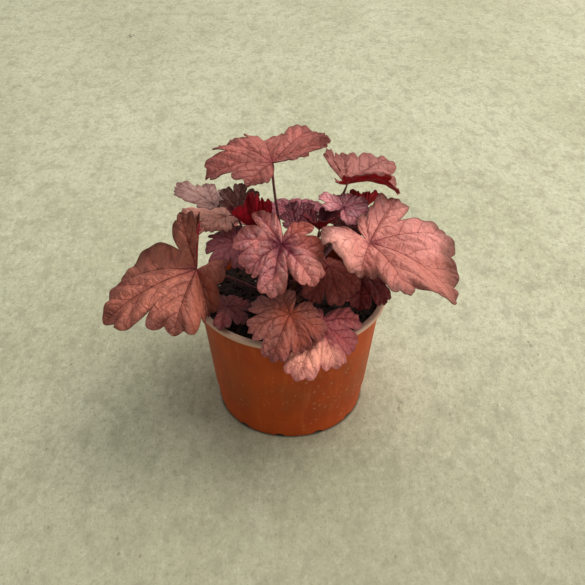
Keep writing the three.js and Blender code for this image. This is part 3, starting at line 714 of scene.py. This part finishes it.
def stalkPiece(leaf, skin):
    form = stalkForm
    root, leave, arrive, tip = stalkHandles(leaf)
    stalk = made(bpy.ops.curve.primitive_bezier_curve_add)
    low, high = stalk.data.splines[0].bezier_points
    for point in (low, high):
        point.handle_left_type = point.handle_right_type = "FREE"
    low.co, low.handle_right, low.handle_left = root, leave, root * 2 - leave
    high.co, high.handle_left, high.handle_right = tip, arrive, tip * 2 - arrive
    bpy.ops.object.mode_set(mode="EDIT")
    bpy.ops.curve.select_all(action="SELECT")
    bpy.ops.curve.subdivide(number_cuts=form["cuts"])
    bpy.ops.object.mode_set(mode="OBJECT")
    points = stalk.data.splines[0].bezier_points
    last = len(points) - 1
    near = form["footCuts"]
    for i, point in enumerate(points):
        body = form["foot"] + (form["middle"] - form["foot"]) * min(1, i / near)
        body += (form["top"] - form["middle"]) * max(0, (i - near) / (last - near))
        point.radius = form["tip"] if i == last else body
    stalk.data.bevel_depth = mm
    stalk.data.bevel_resolution = 3
    stalk.data.resolution_u = 5
    stalk.data.use_fill_caps = True
    workOn(stalk)
    bpy.ops.object.convert(target="MESH")
    editAll(stalk, mergeSeams, faceOut)
    wear(stalk, skin)
    return stalk


def bezierPoint(handles, share):
    a, b, c, d = handles
    left = 1 - share
    return a * left ** 3 + b * 3 * left * left * share + c * 3 * left * share * share + d * share ** 3


def stalkHairs(leaf, hair, draw):
    form = stalkForm
    handles = stalkHandles(leaf)
    placements = []
    for _ in range(form["hairs"]):
        share = draw.uniform(*form["hairRange"])
        here = bezierPoint(handles, share)
        run = (bezierPoint(handles, share + 0.01) - here).normalized()
        out = run.orthogonal().normalized()
        out.rotate(Matrix.Rotation(draw.uniform(0, 2 * math.pi), 3, run))
        aim = (out + run * draw.uniform(*form["hairLean"])).normalized()
        size = draw.uniform(*form["hairSize"])
        turn = aim.to_track_quat("Z", "Y").to_matrix().to_4x4()
        foot = Matrix.Translation(here + out * form["hairAway"] * mm)
        placements.append(foot @ turn @ Matrix.Scale(size, 4))
    return stamp(hair, placements, "hairs")


def hairTemplate():
    length = stalkForm["hairLength"] * mm
    hair = made(bpy.ops.mesh.primitive_cone_add, vertices=3, radius1=stalkForm["hairRadius"] * mm,
                depth=length, location=(0, 0, length / 2))
    bpy.ops.object.transform_apply()
    finish = Finish("stalkHair")
    colour = finish.blend(finish.clouds(finish.place(), 300), *map(paint, stalkForm["hairPaints"]))
    wear(hair, finish.surface(colour, 0.6))
    return hair


draw = random.Random(4)
stalkSkin = stalkFinish()
hair = hairTemplate()
finishes = {}
for index, (node, leaf) in enumerate(leaves.items()):
    kind = leaf.look
    look = looks[kind]
    if kind not in finishes:
        finishes[kind] = (bladeFinish(kind + "Face", look), undersideFinish(kind + "Under", look))
    blade = bladePiece(leaf, index, *finishes[kind])
    whole = joined(blade, stalkPiece(leaf, stalkSkin), stalkHairs(leaf, hair, draw))
    handIn(whole, node, look.slot)
discard(hair)
print("leaves done")


potForm = {
    "rimRadius": 70, "footRadius": 55.5, "height": 98, "wall": 1.2, "lipWidth": 3.4, "lipDrop": 3.2,
    "stepHeight": 20, "stepDepth": 0.7, "floor": 1.6, "floorLift": 2.2, "padRadius": 17, "footWidth": 9,
    "ramp": 3,  # width of the slopes beside the raised floor
    "drains": 12, "drainTurn": 22, "drainWidth": 8, "drainHeight": 3, "drainDepth": 7,
    "sides": 168, "smooth": 32, "bevel": 0.25, "bevelFrom": 35,
    "plastic": "b24302",
    "coats": (
        (1, "963400", ("cloud", 0.35, 0.65)),
        (0.35, "c8642c", ("streak", 0.5, 0.75)),
        (0.3, "7e3204", ("streak", 0.44, 0.3)),
        (0.4, "b8480a", ("height", 0.03, 0.0)),
        (0.4, "944c1e", ("belt",), ("haze", 0.42, 0.62)),
        (0.3, "c89a7c", ("dust",)),
        # pale top of the rim: dust, and a painted highlight where its edge catches the light
        (0.85, "d0ac94", ("lip",)),
    ),
}


def wallRadius(z):
    top = potForm["rimRadius"] - potForm["lipWidth"]
    return potForm["footRadius"] + (top - potForm["footRadius"]) * z / potForm["height"]


def potProfile():  # radius and height of each corner, up the outside and down the inside
    sizes = ("height", "stepHeight", "floorLift", "floor", "footRadius", "rimRadius", "padRadius", "ramp",
             "stepDepth", "wall")
    high, step, lift, low, foot, rim, pad, ramp, depth, wall = (potForm[size] for size in sizes)
    ring = foot - potForm["footWidth"]
    lip = high - potForm["lipDrop"]
    return [
        (0, 0), (pad, 0), (pad + ramp, lift), (ring - ramp, lift), (ring, 0),
        (foot - depth - 1, 0), (foot - depth - 0.2, 0.8),
        *((wallRadius(z) - depth, z) for z in (6, 13, step)),
        *((wallRadius(z), z) for z in (step + 1, 34, 48, 62, 76, 88, lip)),
        (rim - 0.5, lip), (rim, lip + 0.5), (rim, high - 0.8), (rim - 0.8, high),
        (wallRadius(high) - wall + 0.4, high),
        *((wallRadius(z) - wall, z) for z in (high - 2, 80, 60, 40)),
        (wallRadius(step) - wall - depth, step), (wallRadius(low) - wall - depth - 2, low),
        (ring + 1, low), (ring - ramp, lift + low), (pad + ramp, lift + low), (pad, low), (0, low),
    ]


def spunPiece(profile, steps):  # turns an outline, open along the axis, into a closed body
    piece = made(bpy.ops.mesh.primitive_circle_add, vertices=len(profile), radius=1, fill_type="NOTHING")
    moveCorners(piece, [(r * mm, 0, z * mm) for r, z in profile])
    ends = {0, len(profile) - 1}
    bpy.ops.object.mode_set(mode="EDIT")
    bpy.ops.mesh.select_all(action="DESELECT")
    bpy.ops.object.mode_set(mode="OBJECT")
    for edge in piece.data.edges:
        edge.select = set(edge.vertices) == ends
    bpy.ops.object.mode_set(mode="EDIT")
    bpy.ops.mesh.select_mode(type="EDGE")
    bpy.ops.mesh.delete(type="EDGE_FACE")
    bpy.ops.mesh.select_mode(type="VERT")
    bpy.ops.mesh.select_all(action="SELECT")
    bpy.ops.mesh.spin(steps=steps, angle=2 * math.pi, center=(0, 0, 0), axis=(0, 0, 1))
    bpy.ops.object.mode_set(mode="OBJECT")
    editAll(piece, mergeSeams, faceOut)
    return piece


def cutDrains(pot):
    form = potForm
    cutters = []
    for i in range(form["drains"]):
        angle = math.radians(form["drainTurn"] + 360 * i / form["drains"])
        cutter = made(bpy.ops.mesh.primitive_cylinder_add, vertices=24, radius=1,
                      depth=form["drainDepth"] * 2 * mm, rotation=(0, math.pi / 2, angle),
                      location=polar(form["footRadius"] * mm, angle))
        cutter.scale = (form["drainHeight"] * mm, form["drainWidth"] / 2 * mm, 1)
        bpy.ops.object.transform_apply()
        cutters.append(cutter)
    drains = joined(*cutters)
    applyModifier(pot, "BOOLEAN", object=drains, operation="DIFFERENCE", solver="EXACT")
    discard(drains)


def potFinish():
    finish = Finish("terracottaPlastic")
    place = finish.place()
    height = finish.split(place)[2]
    cloud = finish.clouds(place, 18, 4)
    streak = finish.clouds(finish.stretched(place, (1, 1, 0.12)), 160.0, 4.0, 0.6)
    scuff = finish.clouds(place, 420, 3, 0.7)
    # the top of the rim, paler with dust and a painted highlight
    lip = finish.fade(height, 0.0946, 0.095)
    belt = finish.fade(height, 0.018, 0.034) * finish.fade(height, 0.08, 0.06)
    specks = finish.fade(finish.cells(place, 210.0), 0.3, 0.02)
    signals = dict(height=height, cloud=cloud, streak=streak, lip=lip, belt=belt,
                   haze=finish.clouds(place, 34, 5, 0.65),
                   dust=specks * (finish.fade(cloud, 0.5, 0.62) + 0.6 * belt))
    colour = finish.coated(paint(potForm["plastic"]), signals, potForm["coats"])
    relief = (scuff * 0.6 + streak * 0.6, 0.00015, 0.5)
    return finish.surface(colour, 0.5 + 0.15 * scuff + 0.1 * lip, 0.3, relief)


pot = spunPiece(potProfile(), potForm["sides"])
applyModifier(pot, "BEVEL", width=potForm["bevel"] * mm, segments=2, limit_method="ANGLE",
              angle_limit=math.radians(potForm["bevelFrom"]))
cutDrains(pot)
wear(pot, potFinish())
handIn(pot, "pot", "pot", potForm["smooth"])
print("pot done")


# Each kind of bit: count, shape, sizes, how far it stands up, and two paints.
mixForm = {
    "level": 84, "mound": 4, "clearance": 0.5, "cuts": 150, "lumps": 0.9,
    "relief": ((0.28, 1.1), (1.1, 0.5)),  # closeness and height of the coarse and the fine crumbling
    "bitShape": (1.7, 0.55), "tumble": 0.35, "bitEdge": 3,  # unevenness, tilt and distance from the wall
    "soil": ("1c1310", "38261e"),
    "bits": {
        "crumbs": (420, (1, 0.85, 0.7), (0.6, 1.7), 0.15, "2a1c16", "150e0b"),
        "chips": (70, (2.1, 0.9, 0.35), (0.7, 1.7), 0.25, "4c3226", "2a1a14"),
        "white": (12, (1, 0.9, 0.8), (0.5, 0.9), 0.3, "cfc8bc", "a89f92"),
    },
}


def mixHeight(x, y):
    share = np.hypot(x, y) / potForm["rimRadius"]
    lumps = np.sin(x * 0.31 + 1.3) * np.cos(y * 0.27 - 0.4) + 0.6 * np.sin(x * 0.11 - y * 0.19)
    return mixForm["level"] + mixForm["mound"] * (1 - share ** 2) + mixForm["lumps"] * lumps


def mixWall(z):
    return wallRadius(z) - potForm["wall"] - potForm["stepDepth"] - mixForm["clearance"]


def crumble(x, y):  # crumbly relief of the mix
    (close, high), (closer, low) = mixForm["relief"]
    relief = high * noise.fractal(Vector((x * close, y * close, 3.1)), 0.8, 2.1, 4)
    return relief + low * noise.noise(Vector((x * closer, y * closer, 7.7)))


def mixPiece():
    cuts = mixForm["cuts"]
    mix = made(bpy.ops.mesh.primitive_grid_add, x_subdivisions=cuts, y_subdivisions=cuts, size=2)
    place = corners(mix)
    x, y = place[:, 0], place[:, 1]
    wide = np.maximum(np.abs(x), np.abs(y))
    far = np.maximum(np.hypot(x, y), 0.000001)
    radius = mixWall(mixForm["level"])
    x, y = x / far * wide * radius, y / far * wide * radius  # the square's rings become circles
    fine = np.array([crumble(a, b) for a, b in zip(x, y)])
    z = mixHeight(x, y) + fine * (1 - smoothStep(wide, 0.97, 1))  # smooth at the wall
    moveCorners(mix, np.stack([x, y, z], axis=1) * mm)
    low = potForm["floorLift"] + potForm["floor"] + mixForm["clearance"]
    shrink = (mixWall(low + 2) - 2) / radius
    editAll(mix, bpy.ops.mesh.region_to_loop, bpy.ops.mesh.extrude_edges_move,
            lambda: bpy.ops.transform.resize(value=(shrink, shrink, 0), center_override=(0, 0, low * mm)),
            bpy.ops.mesh.edge_face_add)
    editAll(mix, faceOut)
    return mix


def lump(stretch, seed):  # a crumb or chip, made once
    piece = made(bpy.ops.mesh.primitive_ico_sphere_add, subdivisions=2, radius=1)
    closeness, size = mixForm["bitShape"]

    def rule(*place):
        push = 1 + size * noise.noise(Vector(place) * closeness + Vector((seed * 5.3, 0, 0)))
        return [place[i] * push * stretch[i] * mm for i in range(3)]

    reshape(piece, rule)
    return piece


def scattered(template, count, sizes, draw, sink):
    placements = []
    for _ in range(count):
        angle = draw.uniform(0, 2 * math.pi)
        away = (mixWall(mixForm["level"]) - mixForm["bitEdge"]) * math.sqrt(draw.uniform(0.02, 1))
        x, y = away * math.cos(angle), away * math.sin(angle)
        size = draw.uniform(*sizes)
        z = float(mixHeight(x, y)) + crumble(x, y) + sink * size
        turn = Matrix.Rotation(draw.uniform(0, 2 * math.pi), 4, "Z")
        tip = Matrix.Rotation(draw.gauss(0, mixForm["tumble"]), 4, "X")
        tip = tip @ Matrix.Rotation(draw.gauss(0, mixForm["tumble"]), 4, "Y")
        placements.append(Matrix.Translation(Vector((x, y, z)) * mm) @ turn @ tip @ Matrix.Scale(size, 4))
    return stamp(template, placements, "scattered")


def crumbFinish(name, first, second, rough=0.95, size=260.0):
    finish = Finish(name)
    place = finish.place()
    cloud = finish.clouds(place, size, 5, 0.65)
    grit = finish.cells(place, size * 3)
    colour = finish.blend(finish.fade(cloud, 0.35, 0.68), paint(first), paint(second))
    return finish.surface(colour, rough - 0.15 * cloud, 0.25, (cloud + 0.4 * grit, 0.0007, 0.9))


mix = mixPiece()
wear(mix, crumbFinish("pottingMix", *mixForm["soil"]))
bits = []
for seed, (kind, (count, stretch, sizes, sink, *paints)) in enumerate(mixForm["bits"].items()):
    bit = lump(stretch, seed)
    wear(bit, crumbFinish("mix" + kind.capitalize(), *paints))
    bits.append(scattered(bit, count, sizes, draw, sink))
    discard(bit)
mix = joined(mix, *bits)
handIn(mix, "potting_mix", "potting_mix")
print("mix done")


def crownPiece():
    form = crownForm
    crown = made(bpy.ops.mesh.primitive_uv_sphere_add, segments=72, ring_count=48, radius=1)
    middle = (form["foot"] + form["top"]) / 2
    half = (form["top"] - form["foot"]) / 2
    regular, uneven = form["knobs"]
    count, twist, rise = form["ribs"]

    def rule(x, y, z):
        height = middle + half * math.copysign(abs(z) ** form["blunt"], z)
        rounded = min(1, math.hypot(x, y) * 1.25)
        angle = math.atan2(y, x)
        knobs = regular * math.sin(angle * count + height * twist) * math.sin(height * rise)
        knobs += uneven * noise.noise(Vector((math.cos(angle) * 2, math.sin(angle) * 2, height * 0.22)))
        radius = crownRadius(height) * rounded * (0.96 + knobs)
        return radius * math.cos(angle) * mm, radius * math.sin(angle) * mm, height * mm

    reshape(crown, rule)
    return crown


def scalePiece():  # one dry scale, curled a little
    form = crownForm
    scale = made(bpy.ops.mesh.primitive_grid_add, x_subdivisions=4, y_subdivisions=6, size=2)
    across, along = form["scaleCurl"]

    def rule(x, y, z):
        y = (y + 1) / 2
        wide = form["scaleWidth"] * (1 - y ** form["scaleTaper"]) + 0.1
        curl = across * x * x + along * y * y
        return x * wide * mm, curl * mm, (form["scaleLength"] * y - 0.5) * mm

    reshape(scale, rule)
    applyModifier(scale, "SOLIDIFY", thickness=form["scaleThickness"] * mm, offset=0)
    return scale


def sheathPiece(draw):  # dry scales at the feet of the stalks
    form = crownForm
    scale = scalePiece()
    placements = []
    for leaf in leaves.values():
        bearing, height = leaf.stalk[:2]
        for side in form["scales"]:
            angle = math.radians(bearing + side + draw.uniform(*form["scatter"]))
            low = height - draw.uniform(*form["drop"])
            spot = Matrix.Translation(polar(crownRadius(low) * 0.95, angle, low) * mm)
            tip = Matrix.Rotation(draw.uniform(*form["lean"]), 4, "X")
            turn = Matrix.Rotation(angle - math.pi / 2, 4, "Z") @ tip
            placements.append(spot @ turn @ Matrix.Scale(draw.uniform(*form["scaleSizes"]), 4))
    scales = stamp(scale, placements, "scales")
    discard(scale)
    return scales


crown = crownPiece()
wear(crown, crumbFinish("crownBark", *crownForm["bark"], 0.9, 320.0))
scales = sheathPiece(draw)
wear(scales, crumbFinish("drySheath", *crownForm["sheath"], 0.85, 400.0))
crown = joined(crown, scales)
handIn(crown, "crown", "crown")
print("crown done")


floorForm = {
    "size": 8,  # metres
    "stretch": (1, 0.62, 1),
    # scale, detail and roughness of each noise
    "clouds": {"cloud": (5, 4, 0.55), "stain": (26, 5, 0.6), "grain": (230, 4, 0.65),
               "sand": (700, 3, 0.7), "patch": (75, 4, 0.6), "chips": (17, 2, 0.4)},
    "pits": 120,
    "base": "cac7aa",
    "coats": (
        (1, "bcb99a", ("cloud", 0.32, 0.68)),
        (0.4, "a09c82", ("stain", 0.5, 0.72)),
        (0.35, "dcd9bf", ("stain", 0.46, 0.3)),
        (0.45, "918d76", ("grain", 0.5, 0.68)),
        (0.4, "e6e3ca", ("grain", 0.46, 0.32)),
        (0.45, "848068", ("sand", 0.5, 0.66)),
        (0.4, "98947c", ("patch", 0.48, 0.64)),
        (0.9, "2c2620", ("away", 0.0032, 0.0029)),  # painted shadow under the pot, seen dark through the drain notches and round its foot
        (0.5, "77735e", ("pit",)),
        (0.7, "5c5846", ("chips", 0.735, 0.77), ("grain", 0.5, 0.56)),
        (0.5, "959078", ("y", 0.1, -0.28)),  # darker towards the front
    ),
}


def floorFinish():
    finish = Finish("paleFloor")
    place = finish.place()
    x, y = finish.split(place)[:2]
    place = finish.stretched(place, floorForm["stretch"])
    signals = {name: finish.clouds(place, *values) for name, values in floorForm["clouds"].items()}
    stain, grain = signals["stain"], signals["grain"]
    pit = finish.fade(finish.cells(place, floorForm["pits"]), 0.16, 0.06) * finish.fade(stain, 0.5, 0.6)
    signals.update(y=y, away=x * x + y * y, pit=pit)
    colour = finish.coated(paint(floorForm["base"]), signals, floorForm["coats"])
    relief = (grain + stain * 0.6 - pit, 0.0005, 0.6)
    return finish.surface(colour, 0.85 + 0.1 * (grain - 0.5), 0.2, relief)


floor = made(bpy.ops.mesh.primitive_plane_add, size=floorForm["size"])
floor.name = "floor"
wear(floor, floorFinish())

# Lights say their place, aim, size, power and colour. All lengths here are in metres.
stageForm = {
    "sky": (0.94, 1.0, 0.99, 1), "skyStrength": 0.44,
    "lights": {
        "mainLight": ((1.4, 0.8, 2.9), (0, 0, 0.1), 2.7, 95, (1.0, 0.975, 0.925)),
        "sideLight": ((2.4, -0.75, 0.9), (0, 0, 0.06), 0.9, 25, (1.0, 0.96, 0.9)),
    },
    "aim": (0.0017, 0.0, 0.0925), "away": 0.62, "elevation": 36.0, "lens": 52.3, "sensor": 36,
}


def addLight(name, place, aim, size, power, colour):
    light = made(bpy.ops.object.light_add, type="AREA", location=place)
    light.name = name
    light.data.size = size
    light.data.energy = power
    light.data.color = colour
    light.rotation_euler = (Vector(aim) - Vector(place)).to_track_quat("-Z", "Y").to_euler()


scene = bpy.context.scene
scene.world = bpy.data.worlds.new("softSky")
scene.world.use_nodes = True
sky = scene.world.node_tree.nodes["Background"].inputs
sky["Color"].default_value = stageForm["sky"]
sky["Strength"].default_value = stageForm["skyStrength"]
for name, values in stageForm["lights"].items():
    addLight(name, *values)

elevation = math.radians(stageForm["elevation"])
away = stageForm["away"] * Vector((0, -math.cos(elevation), math.sin(elevation)))
camera = made(bpy.ops.object.camera_add, location=Vector(stageForm["aim"]) + away,
              rotation=(math.pi / 2 - elevation, 0, 0))
camera.data.sensor_width = stageForm["sensor"]
camera.data.lens = stageForm["lens"]
scene.camera = camera
scene.view_settings.view_transform = "Standard"

print("scene done")
